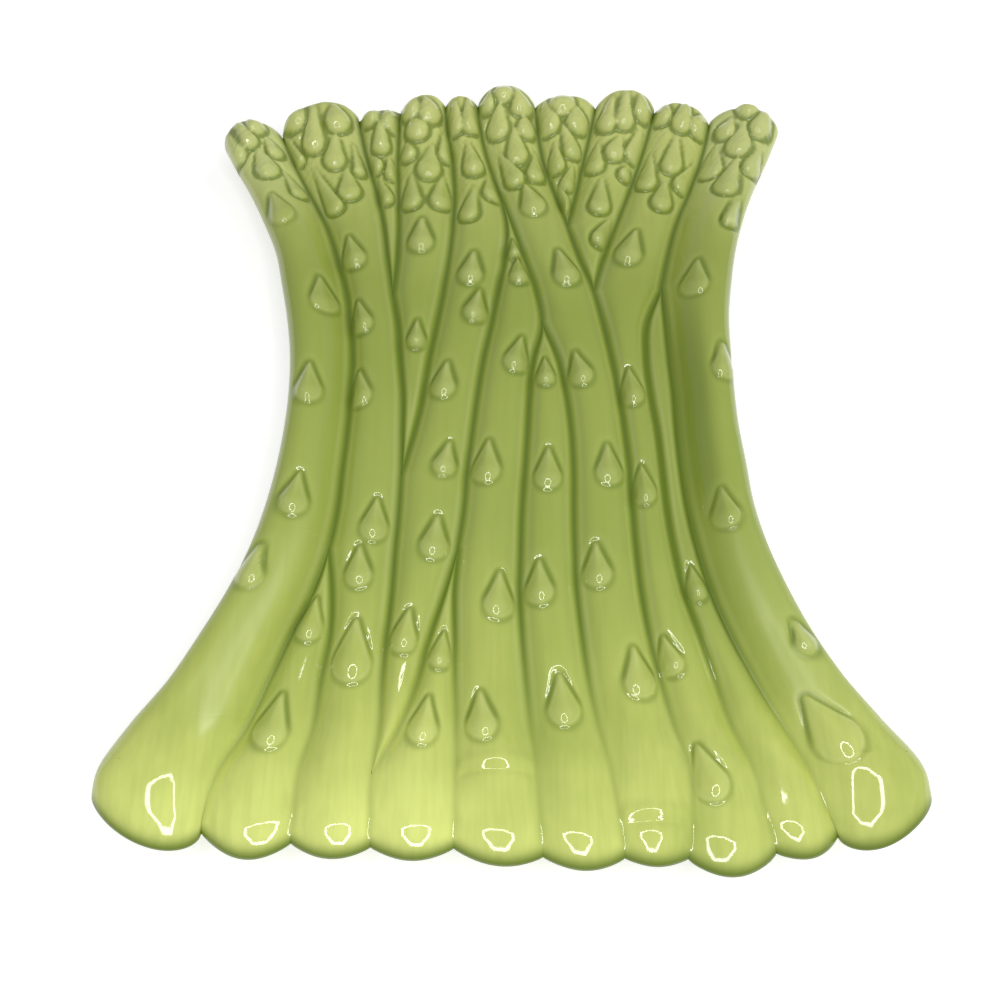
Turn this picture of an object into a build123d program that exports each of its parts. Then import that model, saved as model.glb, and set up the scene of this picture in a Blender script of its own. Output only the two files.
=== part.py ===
from build123d import *
import os
from math import acos, asin, cos, degrees, radians, sin

os.makedirs("parts", exist_ok=True)

# A dish moulded as a bunch of asparagus: fifteen spears lie side by side, cross and tuck under each
# other, and together they are the whole dish, butts at the front (-Y) and tips at the back (+Y).
# Each spear is a stave of the casting from its crevices up to its crest and down to the underside.
# Millimetres, +Z up, origin at the middle of the footprint on the table.

# Plan sizes
plate_length = 304.0
butt_overhang = 4.0     # how far the longest butt stands out past the others
butt_width = 265.0
waist_width = 162.0
tip_width = 227.0

# Heights
foot_height = 5.0
wall = 5.0
butt_rise = 7.0         # lift of the dish towards its butts
tip_rise = 13.0         # lift towards its tips
rim_rise = 12.0         # crest of the two outer spears above their inner crevices, at the waist
ridge = 4.0             # crest of any other spear above its crevices
ridge_full_width = 15.0     # a spear narrower than this stands less proud

# Rounded ends of the spears
butt_nose = 10.0
tip_nose = 9.0
corner_nose = 16.0

# Scale leaves on the stalks and buds on the heads
leaf_length = 14.5
leaf_width = 8.6
leaf_height = 1.7
leaf_seat = 0.9         # sunk into the stalk, so that its rim closes all round
bud_height = 2.9
small_bud_height = 1.7
bud_seat = 2.0

# Foot ring
foot_width = 7.0
foot_corner = 14.0

half_length = (plate_length - butt_overhang) / 2
waist_line = butt_overhang / 2      # the shares along the dish are counted from here
floor_level = foot_height + wall

# The outline flares from the waist: how much of the extra width is reached, tenth by tenth of the
# half length, from the butts (-1) to the tips (1).
flare_shares = [1.00, 1.00, 0.96, 0.78, 0.57, 0.40, 0.26, 0.15, 0.08, 0.04, 0.01, 0.00,
                0.01, 0.05, 0.13, 0.23, 0.39, 0.59, 0.83, 1.00, 1.00]

# Where the dish begins to lift, as shares of the half length, and how the lift of its tips grows
butt_floor_share = 0.60
butt_level_share = 0.86     # and is level again
tip_floor_share = 0.70
lift_power = 1.5

# Height of the rim's crest along the two outer spears, at the same tenths, as shares of rim_rise
rim_shares = [0.45, 0.50, 0.58, 0.68, 0.80, 0.90, 0.96, 1.00, 1.00, 1.00, 1.00, 1.00,
              1.00, 1.00, 0.98, 0.92, 0.84, 0.74, 0.64, 0.56, 0.50]

# Cross-section of an outer spear, as shares of its width or of its rim's height
rim_crest_share = 0.66
rim_edge_share = 0.52
rim_under_share = 0.42

# Crevices between spears, and the dish's two sides: the first tenth of the half length each one has,
# counted from the waist, then how far out it runs at each tenth, as a share of the half width there.
crevice_shares = {
    "left_side": (-10, [-1.000, -1.005, -1.010, -1.018, -1.018, -1.018, -1.012, -1.006, -1.000,
                        -0.990, -0.987, -0.984, -0.986, -0.994, -0.998, -1.000, -1.008, -1.013,
                        -1.018, -1.016, -1.016]),
    "left_rim": (-10, [-0.735, -0.730, -0.719, -0.709, -0.726, -0.729, -0.716, -0.711, -0.712,
                       -0.717, -0.717, -0.713, -0.709, -0.712, -0.719, -0.738, -0.751, -0.775,
                       -0.780, -0.773, -0.777]),
    "left_butt": (-10, [-0.525, -0.520, -0.522, -0.533, -0.572, -0.599, -0.645, -0.706]),
    "left": (-10, [-0.334, -0.339, -0.345, -0.357, -0.389, -0.412, -0.430, -0.449, -0.457, -0.462,
                   -0.472, -0.477, -0.491, -0.498, -0.512, -0.519, -0.511, -0.508, -0.510, -0.513,
                   -0.521]),
    "left_tip": (4, [-0.507, -0.474, -0.446, -0.422, -0.395, -0.372, -0.369]),
    "inner_left_tip": (-1, [-0.457, -0.419, -0.385, -0.359, -0.322, -0.283, -0.249, -0.220, -0.201,
                            -0.195, -0.205, -0.212]),
    "centre_left": (-3, [-0.207, -0.190, -0.180, -0.162, -0.140, -0.112, -0.073, -0.039, -0.005,
                         0.003, -0.024, -0.065, -0.088, -0.098]),
    "slanting_end": (-8, [-0.340, -0.300, -0.282, -0.268, -0.239, -0.207]),
    "centre_butt": (-10, [-0.143, -0.141, -0.142, -0.152, -0.171, -0.187, -0.203, -0.202]),
    "centre_right": (-10, [0.067, 0.060, 0.056, 0.048, 0.041, 0.035, 0.032, 0.040, 0.050, 0.067,
                           0.083, 0.096, 0.117, 0.159, 0.133, 0.080, 0.030, -0.020]),
    "right_butt": (-10, [0.258, 0.246, 0.236, 0.228, 0.229, 0.233, 0.239, 0.252, 0.265, 0.277,
                         0.279, 0.265, 0.233, 0.164]),
    "right": (-10, [0.401, 0.420, 0.429, 0.430, 0.444, 0.455, 0.471, 0.491, 0.507, 0.517, 0.515,
                    0.503, 0.476, 0.439, 0.389, 0.319, 0.257, 0.196, 0.140, 0.115, 0.108]),
    "right_tip": (6, [0.262, 0.282, 0.295, 0.313, 0.339]),
    "inner_right_tip": (4, [0.394, 0.429, 0.465, 0.491, 0.507, 0.523, 0.561]),
    "right_rim": (4, [0.694, 0.708, 0.716, 0.732, 0.732, 0.729, 0.738]),
    "right_rim_inner": (-10, [0.616, 0.592, 0.583, 0.583, 0.608, 0.621, 0.625, 0.639, 0.649, 0.657,
                              0.660, 0.645, 0.633, 0.639, 0.694]),
    "right_rim_outer": (-10, [0.778, 0.740, 0.719, 0.717, 0.723, 0.721, 0.723, 0.732, 0.736, 0.741,
                              0.749, 0.753, 0.743, 0.727, 0.699]),
    "right_side": (-10, [1.000, 0.995, 0.990, 0.982, 0.982, 0.982, 0.988, 0.994, 1.000, 1.010,
                         1.013, 1.016, 1.014, 1.006, 1.002, 1.000, 0.992, 0.987, 0.982, 0.984,
                         0.984]),
}

# Every spear from left to right: its node, its left and right borders as (crevice, last tenth that
# crevice serves, going up), and the share of the half length at each end. A spear that tucks under
# its neighbours ends on a tenth; one that reaches past these lines ends in a butt or a head.
butt_line_share = -0.9
head_line_share = 0.8
spear_shares = [
    ("spear_01_outer_left", [("left_side", 10)], [("left_rim", 10)], -0.953, 0.895),
    ("spear_02_left_butt", [("left_rim", 10)], [("left_butt", -3)], -0.975, -0.3),
    ("spear_03_left", [("left_butt", -3), ("left_rim", 10)], [("left", 10)], -0.979, 0.952),
    ("spear_04_left_tip", [("left", 10)], [("left_tip", 10)], 0.4, 0.932),
    ("spear_05_inner_left_tip", [("left", 3), ("left_tip", 10)], [("inner_left_tip", 10)],
     -0.1, 0.972),
    ("spear_06_slanting", [("left", -2), ("inner_left_tip", 10)],
     [("slanting_end", -4), ("centre_left", 10)], -0.8, 0.971),
    ("spear_07_centre_left_butt", [("left", -9), ("slanting_end", -3)], [("centre_butt", -3)],
     -0.983, -0.3),
    ("spear_08_centre", [("centre_butt", -3), ("centre_left", 10)], [("centre_right", 7)],
     -0.997, 0.7),
    ("spear_09_centre_right_butt", [("centre_right", 7)], [("right_butt", 3)], -1.008, 0.3),
    ("spear_10_crossing", [("right_butt", 3), ("centre_right", 7), ("centre_left", 10)],
     [("right", 10)], -1.001, 1.0),
    ("spear_11_right_tip", [("right", 10)], [("right_tip", 10)], 0.6, 0.970),
    ("spear_12_inner_right_tip", [("right", 5), ("right_tip", 10)], [("inner_right_tip", 10)],
     0.4, 0.984),
    ("spear_13_right", [("right", 3), ("inner_right_tip", 10)],
     [("right_rim_inner", 3), ("right_rim", 10)], -1.0267, 0.947),
    ("spear_14_right_butt", [("right_rim_inner", 4)], [("right_rim_outer", 4)], -0.987, 0.4),
    ("spear_15_outer_right", [("right_rim_outer", 4), ("right_rim", 10)], [("right_side", 10)],
     -0.963, 0.926),
]

# Scale leaves on the stalks of each spear: how far along the half length, how far across from its
# middle (-1 to 1), and its size
leaf_shares = {
    "spear_01_outer_left": [(0.36, 0.25, 1.0), (0.11, -0.24, 1.0), (-0.20, 0.17, 1.0),
                            (-0.37, -0.36, 1.0)],
    "spear_02_left_butt": [(-0.48, -0.20, 1.0), (-0.71, -0.22, 1.15)],
    "spear_03_left": [(0.49, -0.33, 0.95), (0.30, -0.40, 0.9), (0.10, -0.36, 1.0),
                      (-0.22, 0.37, 1.0), (-0.36, -0.10, 0.95), (-0.56, -0.08, 1.35)],
    "spear_05_inner_left_tip": [(0.54, -0.14, 1.0), (0.25, 0.06, 0.75)],
    "spear_06_slanting": [(0.44, -0.11, 0.95), (0.33, 0.35, 0.9), (0.12, -0.31, 0.95),
                          (-0.09, 0.29, 0.85), (-0.29, 0.25, 1.0), (-0.51, -0.20, 0.95)],
    "spear_07_centre_left_butt": [(-0.55, 0.05, 0.8), (-0.71, -0.16, 1.0)],
    "spear_08_centre": [(0.51, 0.0, 0.6), (0.41, 0.16, 0.8), (0.19, 0.34, 0.95),
                        (-0.10, -0.36, 1.05), (-0.43, 0.35, 1.05), (-0.70, -0.31, 1.0)],
    "spear_09_centre_right_butt": [(0.11, -0.10, 0.75), (-0.12, -0.06, 1.0), (-0.40, -0.33, 1.0),
                                   (-0.67, 0.06, 1.1)],
    "spear_10_crossing": [(0.65, -0.02, 1.0), (0.44, 0.25, 1.05), (0.15, -0.34, 0.9),
                          (-0.11, 0.25, 1.0), (-0.36, -0.34, 1.0), (-0.61, 0.40, 1.1)],
    "spear_13_right": [(0.48, 0.0, 1.1), (0.10, -0.20, 0.95), (-0.16, -0.30, 0.95),
                       (-0.57, -0.50, 0.85), (-0.83, -0.45, 1.15)],
    "spear_14_right_butt": [(-0.40, -0.05, 0.8)],
    "spear_15_outer_right": [(0.40, -0.10, 1.0), (0.14, 0.40, 0.95), (-0.24, -0.31, 0.95),
                             (-0.54, 0.25, 0.8), (-0.74, -0.40, 1.5)],
}

# Buds of each head: how far across from its middle the bud's round end is (-1 to 1), how far back
# from the head's tip, its turn in degrees (to the right is positive), its length and its width.
# A head's first buds are its big ones.
big_buds = 3
head_buds = {
    "spear_01_outer_left": [(-0.55, 16, -29, 17, 8.5), (-0.10, 11, -31, 15, 7),
                            (0.40, 6, -20, 10, 6.5), (0.55, 14, -34, 10, 5.5),
                            (-0.04, 24, -24, 15, 8.2), (0.60, 31, -33, 13, 5.6)],
    "spear_03_left": [(-0.48, 8, 12, 12, 9.5), (0.45, 9, -10, 12, 9), (-0.20, 18, -2, 18, 8.2),
                      (0.15, 26, 0, 15, 7.8), (0.18, 39, -6, 14, 8.2), (-0.40, 46, -27, 18, 6.5)],
    "spear_04_left_tip": [(-0.42, 6, 12, 9, 7.5), (0.45, 6, -12, 10, 7.6), (0, 16, -1, 15, 6.6),
                          (-0.45, 25, -20, 10, 5), (0.45, 27, -10, 10, 5)],
    "spear_05_inner_left_tip": [(-0.48, 8, 12, 10, 8), (0.35, 9, -12, 11, 8.6),
                                (-0.22, 16, 3, 10, 8.4), (0.60, 25, -2, 12, 6),
                                (0.05, 33, 9, 14, 8), (-0.55, 25, -8, 8, 5.8)],
    "spear_06_slanting": [(-0.45, 13, 0, 13, 7), (0.42, 13, -4, 14, 7), (0.06, 31, -12, 14, 7.6),
                          (-0.35, 52, 12, 14, 6), (0.50, 42, -8, 12, 5.5)],
    "spear_10_crossing": [(-0.50, 9, 18, 9, 6.5), (0.50, 10, -20, 12, 8), (-0.15, 18, 5, 15, 8),
                          (0.55, 20, -7, 10, 7), (0.07, 31, -7, 16, 7.8), (-0.35, 41, -20, 15, 7)],
    "spear_11_right_tip": [(-0.52, 12, -4, 13, 8.5), (0.50, 12, -14, 12, 8.5),
                           (-0.02, 6, 1, 9, 8.5), (-0.42, 29, -1, 12, 6), (0.36, 24, -20, 15, 6)],
    "spear_12_inner_right_tip": [(-0.48, 14, 10, 14, 7.5), (0.58, 11, -6, 11, 7.5),
                                 (0.05, 15, 7, 16, 7.6), (-0.50, 32, 9, 13, 6.8),
                                 (0.50, 28, 19, 14, 6), (0.08, 50, 6, 15, 7.6)],
    "spear_13_right": [(-0.55, 8, 17, 10, 7.3), (0.60, 12, 25, 11, 8), (0.02, 10, 13, 14, 8),
                       (0.10, 27, 11, 16, 7.7), (-0.45, 35, 10, 15, 7), (0.55, 37, 30, 13, 6.5)],
    "spear_15_outer_right": [(-0.48, 12, 28, 10, 7), (0.02, 9, 22, 10, 8.2),
                             (0.42, 13, 20, 15, 8.2), (-0.02, 23, 16, 15, 8.8),
                             (-0.55, 29, 16, 14, 7.5), (0.11, 40, 23, 18, 8.6)],
}

# How finely round forms are faceted
dome_steps = 3              # facets on each half of a spear's back
edge_steps = 2
round_end_steps = 5         # of a drop's round end
nose_angles = (35, 72)
nose_power = 2.3


def distance(share):
    """Distance along the dish at a share of the half length."""
    return waist_line + share * half_length


def tenth(k):
    """Distance along the dish at the k-th tenth of the half length."""
    return distance(k / 10)


def between(knots, along):
    """Straight-line value at a distance along the dish, from (distance, value) knots."""
    (y0, v0), (y1, v1) = knots[0], knots[1]
    for low, high in zip(knots, knots[1:]):
        if low[0] <= along:
            (y0, v0), (y1, v1) = low, high
    return v0 + (v1 - v0) * (along - y0) / (y1 - y0)


def half_width(k):
    """Half the dish's width at the k-th tenth."""
    end_width = butt_width if k < 1 else tip_width
    return (waist_width + (end_width - waist_width) * flare_shares[k + 10]) / 2


def lift(k):
    """How far the dish has risen from its floor at the k-th tenth."""
    share = abs(k) / 10
    if k < 0:
        climbed = max(0, share - butt_floor_share) / (butt_level_share - butt_floor_share)
        climbed = min(1, climbed)
        return butt_rise * climbed ** 2 * (3 - 2 * climbed)
    climbed = max(0, share - tip_floor_share) / (1 - tip_floor_share)
    return tip_rise * climbed ** lift_power


tenths = range(-10, 11)
levels = [(tenth(k), floor_level + lift(k)) for k in tenths]
rims = [(tenth(k), rim_rise * rim_shares[k + 10]) for k in tenths]
closing_share = 0.1     # of a tenth: how soon neighbours meet again past a spear's tucked end


def crevice_place(name, k):
    """Distance across at the k-th tenth of a crevice, k whole or not."""
    first, shares = crevice_shares[name]
    places = [(tenth(first + i), share * half_width(first + i)) for i, share in enumerate(shares)]
    return between(places, tenth(k))


def border(chain):
    """Knots (along, across) of a spear's border, which follows one crevice after another."""
    knots = []
    served = -10
    for i, (name, last) in enumerate(chain):
        first, shares = crevice_shares[name]
        last = min(last, first + len(shares) - 1)
        knots += [(tenth(k), crevice_place(name, k)) for k in range(max(served, first), last + 1)]
        if i + 1 < len(chain):
            upper = chain[i + 1][0]
            if crevice_shares[upper][0] <= last:
                meeting = last + closing_share
                knots.append((tenth(meeting), crevice_place(upper, meeting)))
            else:
                meeting = last + 1 - closing_share
                knots.append((tenth(meeting), crevice_place(name, meeting)))
        served = last + 1
    return knots


class Section:
    """A spear's cross-section: its back falls in facets from its crest, over a flat underside."""

    def __init__(self, along, left_knots, right_knots, side):
        self.along = along
        self.left = between(left_knots, along)
        self.right = between(right_knots, along)
        self.side = side
        self.level = between(levels, along)
        self.under = self.level - wall
        width = self.right - self.left
        if side:
            self.rise = between(rims, along)
            inner = self.left if side > 0 else self.right
            self.crest_x = inner + side * rim_crest_share * width
            self.edge_drop = rim_edge_share * (self.rise + ridge)
        else:
            self.rise = ridge * min(1, width / ridge_full_width)
            self.crest_x = (self.left + self.right) / 2
        self.crest = self.level + self.rise

    def height(self, across):
        """Height and slope of the back at a distance across."""
        toward = 1 if across > self.crest_x else -1
        run = abs((self.right if toward > 0 else self.left) - self.crest_x)
        drop = self.edge_drop if toward == self.side else self.rise
        radius = (run ** 2 + drop ** 2) / (2 * drop)
        offset = across - self.crest_x
        reach = (radius ** 2 - offset ** 2) ** 0.5
        return self.crest - radius + reach, -offset / reach

    def half_outline(self, toward):
        """Points from the crest out to the border on one side and down to the underside."""
        border_x = self.right if toward > 0 else self.left
        run = border_x - self.crest_x
        backs = [self.crest_x + run * step / dome_steps for step in range(1, dome_steps + 1)]
        points = [(x, self.height(x)[0]) for x in backs]
        if toward != self.side:
            return points + [(border_x, self.under)]
        edge_z = points[-1][1]
        low_z = self.crest - wall - rim_under_share * self.rise
        turns = [radians(90) * step / edge_steps for step in range(1, edge_steps + 1)]
        return points + [(self.crest_x + run * cos(turn), edge_z + (low_z - edge_z) * sin(turn))
                         for turn in turns]

    def outline(self, size):
        """All points, drawn in towards the middle of the section by size."""
        middle_x = (self.left + self.right) / 2
        middle_z = (self.crest + self.under) / 2
        points = self.half_outline(-1)[::-1] + [(self.crest_x, self.crest)] + self.half_outline(1)
        return [(middle_x + (x - middle_x) * size, middle_z + (z - middle_z) * size)
                for x, z in points]


def draw_section(section, size=1.0):
    """Sketch a spear's section on its plane across the dish."""
    with BuildSketch(Plane.XZ.offset(-section.along)) as sketch:
        with BuildLine():
            Polyline(*section.outline(size), close=True)
        make_face()
    return sketch.sketch


def nose_steps():
    """Distance out and size left at each step of a rounded end, both as shares."""
    turns = [radians(angle) for angle in nose_angles]
    return [(sin(turn) ** (2 / nose_power), cos(turn) ** (2 / nose_power)) for turn in turns]


def draw_drop(plane, length, width, size):
    """Sketch a teardrop round the middle of its round end, its point up the spear."""
    radius = width / 2
    point = length - radius
    tangent = acos(radius / point)
    span = 2 * (radians(180) - tangent)
    turns = [tangent + span * step / round_end_steps for step in range(round_end_steps + 1)]
    round_end = [(radius * sin(turn) * size, radius * cos(turn) * size) for turn in turns]
    with BuildSketch(plane) as sketch:
        with BuildLine():
            Polyline((0, point * size), *round_end, close=True)
        make_face()
    return sketch.sketch


drop_clearance = 0.4        # a drop stops this far short of its spear's borders


def add_drop(section, across, along, forward, turn, length, width, seat, height, steps):
    """Raise a teardrop out of a section's back through the steps (height share, outline share)."""
    room = min(section.right - across, across - section.left) - drop_clearance
    width = min(width, 2 * room)
    point = length - width / 2
    side_room = (section.right - across if turn > 0 else across - section.left) - drop_clearance
    turn_limit = degrees(asin(min(1, side_room / point)))
    turn = max(-turn_limit, min(turn_limit, turn))
    back, slope = section.height(across)
    normal = Vector(-slope, 0, 1).normalized()
    sideways = forward.cross(normal).normalized()
    place = Vector(across, along, back) - normal * seat
    plane = Plane(place, x_dir=sideways, z_dir=normal).rotated((0, 0, -turn))
    loft([draw_drop(plane.offset((seat + height) * height_share), length, width, outline_share)
          for height_share, outline_share in steps], ruled=True)


leaf_steps = ((0, 1.0), (1.0, 0.62))
bud_steps = ((0, 1.0), (0.60, 0.93), (1.0, 0.50))
leaf_back_share = 0.38      # of a leaf's length, from its place down to the bottom of its round end
leaf_fit_share = 0.86       # widest a leaf may be in its spear

for name, left_chain, right_chain, start_share, end_share in spear_shares:
    side = -1 if left_chain[0][0] == "left_side" else 1 if right_chain[0][0] == "right_side" else 0
    left_knots = border(left_chain)
    right_knots = border(right_chain)
    has_butt = start_share < butt_line_share
    has_head = end_share > head_line_share
    nose = corner_nose if side else butt_nose
    start = distance(start_share) + (nose if has_butt else 0)
    end = distance(end_share) - (tip_nose if has_head else 0)
    inside = {y for y, x in left_knots + right_knots if start < y < end}

    def section_at(along):
        return Section(along, left_knots, right_knots, side)


    with BuildPart() as spear:
        # The stave, with its rounded butt and head
        outlines_up = [draw_section(section_at(along)) for along in sorted(inside | {start, end})]
        if has_butt:
            outlines_up[:0] = [draw_section(section_at(start - nose * out), size)
                               for out, size in reversed(nose_steps())]
        if has_head:
            outlines_up += [draw_section(section_at(end + tip_nose * out), size)
                            for out, size in nose_steps()]
        loft(outlines_up, ruled=True)

        # Its scale leaves
        for along_share, across_share, size in leaf_shares.get(name, []):
            along = distance(along_share)
            here, ahead = section_at(along), section_at(along + leaf_length)
            border_x = here.right if across_share > 0 else here.left
            across = here.crest_x + abs(across_share) * (border_x - here.crest_x)
            forward = Vector((ahead.crest_x - here.crest_x) / leaf_length, 1, 0).normalized()
            length = leaf_length * size
            width = min(leaf_width * size, leaf_fit_share * (here.right - here.left))
            round_end = along - leaf_back_share * length + width / 2
            add_drop(here, across, round_end, forward, 0, length, width, leaf_seat,
                     leaf_height * size, leaf_steps)

        # The buds of its head
        for i, (across_share, back, turn, length, width) in enumerate(head_buds.get(name, [])):
            along = distance(end_share) - back
            here = section_at(min(along, end))
            across = (here.left + here.right) / 2 + across_share * (here.right - here.left) / 2
            height = bud_height if i < big_buds else small_bud_height
            add_drop(here, across, along, Vector(0, 1, 0), turn, length, width, bud_seat,
                     height, bud_steps)

    spear.part.label = name
    export_step(spear.part, f"parts/{name}.step")

# Foot ring under the flat middle of the dish, following its waist
ring_along_shares = (-0.60, 0.08, 0.60)
ring_across_share = 0.45


def draw_ring(inset):
    """Sketch the ring's hourglass outline, drawn in all round by inset."""
    front, waist, back = [
        (ring_across_share * between([(tenth(k), half_width(k)) for k in tenths], distance(share))
         - inset, distance(share))
        for share in ring_along_shares]
    front_y, back_y = front[1] + inset, back[1] - inset
    with BuildSketch() as sketch:
        with BuildLine():
            for side in (-1, 1):
                ThreePointArc((side * front[0], front_y), (side * waist[0], waist[1]),
                              (side * back[0], back_y))
            for across, along in ((front[0], front_y), (back[0], back_y)):
                Line((-across, along), (across, along))
        make_face()
        fillet(sketch.vertices(), foot_corner - inset)
    return sketch.sketch


with BuildPart() as foot_ring:
    extrude(draw_ring(0), amount=foot_height)
    extrude(draw_ring(foot_width), amount=foot_height, mode=Mode.SUBTRACT)
foot_ring.part.label = "foot_ring"
export_step(foot_ring.part, "parts/foot_ring.step")
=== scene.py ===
from math import pi, radians

import bpy
import numpy as np
from mathutils import Matrix, Vector


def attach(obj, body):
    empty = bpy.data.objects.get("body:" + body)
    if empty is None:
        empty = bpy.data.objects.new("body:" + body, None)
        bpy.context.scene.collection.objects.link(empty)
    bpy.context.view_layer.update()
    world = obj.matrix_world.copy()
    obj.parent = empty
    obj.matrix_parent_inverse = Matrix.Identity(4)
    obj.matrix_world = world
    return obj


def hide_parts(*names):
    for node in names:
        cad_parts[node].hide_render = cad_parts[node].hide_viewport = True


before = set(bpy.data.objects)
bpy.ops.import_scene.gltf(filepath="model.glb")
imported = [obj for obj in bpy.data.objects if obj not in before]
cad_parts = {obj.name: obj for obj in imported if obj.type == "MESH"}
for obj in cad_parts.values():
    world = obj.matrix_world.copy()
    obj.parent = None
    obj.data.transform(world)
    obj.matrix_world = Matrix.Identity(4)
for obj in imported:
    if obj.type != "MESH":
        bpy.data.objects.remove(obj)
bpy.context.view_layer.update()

mm = 0.001

# A dish moulded as a bunch of asparagus, butts at the front (-Y) and tips at the back (+Y).
# Sizes are in millimetres here; meshes are written in metres.

# Plan of the dish, as in the solid model
plate_length = 304.0
butt_overhang = 4.0         # how far the longest butt stands out past the others
butt_width = 265.0
waist_width = 162.0
tip_width = 227.0
half_length = (plate_length - butt_overhang) / 2
tenth = half_length / 10
waist_line = butt_overhang / 2      # distances along the dish are counted from this line

# Heights
foot_height = 5.0
wall = 5.0
floor_level = foot_height + wall
butt_rise = 7.0
tip_rise = 11.1
rim_rise = 12.0
ridge = 4.0
ridge_full_width = 15.0     # a narrower spear has a lower ridge

# Where the dish begins to lift, as shares of the half length, and how the lift of its tips grows
butt_floor_share = 0.60
butt_level_share = 0.95     # and is level again
tip_floor_share = 0.70
lift_power = 1.5

# What changes along the dish has a zone: the line where the change begins, as a distance from the
# waist with the butts negative, and the length that it takes

# Cross-section of a stalk
dome_power = 3.0            # how flat-topped it is
butt_dome_power = 2.0
dome_zone = (-112, 50)
butt_flattening = 0.35      # share of its height that a ridge loses at its butt
butt_flattening_zone = (-112, 24)
crevice_round = 1.4         # glaze fills the bottom of a crevice to this radius

# Cross-section of an outer spear, as shares of its width or of its rim's height
rim_crest_share = 0.66
rim_edge_share = 0.52
rim_under_share = 0.42
rim_steepness = 2           # how steeply its inner wall climbs
butt_steepening = {"left": 2, "right": 1}       # and how much more it does at each butt
steepening_zone = (-10, 50)

# Swelling of an outer spear's butt: how high, how far out its crest moves, and where
pad_rise = 2.6
pad_rise_place = -122
pad_rise_length = 11
pad_reach = 0.10
pad_reach_place = -124
pad_reach_length = 18

# How much of the flare from the waist is reached, tenth by tenth of the half length
flare_shares = [1.00, 1.00, 0.96, 0.78, 0.57, 0.40, 0.26, 0.15, 0.08, 0.04, 0.01, 0.00,
                0.01, 0.05, 0.13, 0.23, 0.39, 0.59, 0.83, 1.00, 1.00]

# Height of the rim's crest at the same tenths, as shares of rim_rise
rim_shares = [0.45, 0.50, 0.60, 0.72, 0.84, 0.93, 0.98, 1.00, 1.00, 1.00, 1.00, 1.00,
              1.00, 1.00, 0.98, 0.92, 0.84, 0.74, 0.64, 0.56, 0.50]

# Crevices between spears, and the dish's two sides: the first tenth each one has, counted from the
# waist, then how far out it runs at each tenth, as a share of the half width there
crevice_shares = {
    "left_side": (-10, [-0.972, -0.988, -1.002, -1.018, -1.018, -1.018, -1.012, -1.006, -1.000,
                        -0.990, -0.987, -0.984, -0.986, -0.994, -0.998, -1.000, -1.008, -1.013,
                        -1.018, -1.032, -1.045]),
    "left_rim": (-10, [-0.735, -0.730, -0.719, -0.709, -0.726, -0.729, -0.716, -0.711, -0.712,
                       -0.717, -0.717, -0.713, -0.709, -0.712, -0.719, -0.738, -0.751, -0.775,
                       -0.788, -0.800, -0.815]),
    "left_butt": (-10, [-0.525, -0.520, -0.522, -0.533, -0.572, -0.599, -0.645, -0.706]),
    "left": (-10, [-0.334, -0.339, -0.345, -0.357, -0.389, -0.412, -0.430, -0.449, -0.457, -0.462,
                   -0.472, -0.477, -0.491, -0.498, -0.512, -0.519, -0.511, -0.508, -0.510, -0.513,
                   -0.521]),
    "left_tip": (4, [-0.507, -0.474, -0.446, -0.422, -0.395, -0.372, -0.369]),
    "inner_left_tip": (-1, [-0.457, -0.419, -0.385, -0.359, -0.322, -0.283, -0.249, -0.220, -0.201,
                            -0.195, -0.205, -0.212]),
    "centre_left": (-3, [-0.207, -0.190, -0.180, -0.162, -0.140, -0.112, -0.073, -0.039, -0.005,
                         0.003, -0.024, -0.065, -0.088, -0.098]),
    "slanting_end": (-8, [-0.340, -0.300, -0.282, -0.268, -0.239, -0.207]),
    "centre_butt": (-10, [-0.143, -0.141, -0.142, -0.152, -0.171, -0.187, -0.203, -0.202]),
    "centre_right": (-10, [0.067, 0.060, 0.056, 0.048, 0.041, 0.035, 0.032, 0.040, 0.050, 0.067,
                           0.083, 0.096, 0.117, 0.159, 0.133, 0.080, 0.030, -0.020]),
    "right_butt": (-10, [0.258, 0.246, 0.236, 0.228, 0.229, 0.233, 0.239, 0.252, 0.265, 0.277,
                         0.279, 0.265, 0.233, 0.164]),
    "right": (-10, [0.401, 0.420, 0.429, 0.430, 0.444, 0.455, 0.471, 0.491, 0.507, 0.517, 0.515,
                    0.503, 0.476, 0.439, 0.389, 0.319, 0.257, 0.196, 0.140, 0.115, 0.108]),
    "right_tip": (6, [0.262, 0.282, 0.295, 0.313, 0.339]),
    "inner_right_tip": (4, [0.394, 0.429, 0.465, 0.491, 0.507, 0.523, 0.561]),
    "right_rim": (4, [0.694, 0.708, 0.716, 0.732, 0.732, 0.729, 0.738]),
    "right_rim_inner": (-10, [0.616, 0.592, 0.583, 0.583, 0.608, 0.621, 0.625, 0.639, 0.649, 0.657,
                              0.660, 0.645, 0.633, 0.639, 0.694]),
    "right_rim_outer": (-10, [0.778, 0.740, 0.719, 0.717, 0.723, 0.721, 0.723, 0.732, 0.736, 0.741,
                              0.749, 0.753, 0.743, 0.727, 0.699]),
    "right_side": (-10, [0.980, 0.984, 0.986, 0.982, 0.982, 0.982, 0.988, 0.994, 1.000, 1.010,
                         1.013, 1.016, 1.014, 1.006, 1.002, 1.000, 0.992, 0.987, 0.982, 0.984,
                         0.984]),
}

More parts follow.
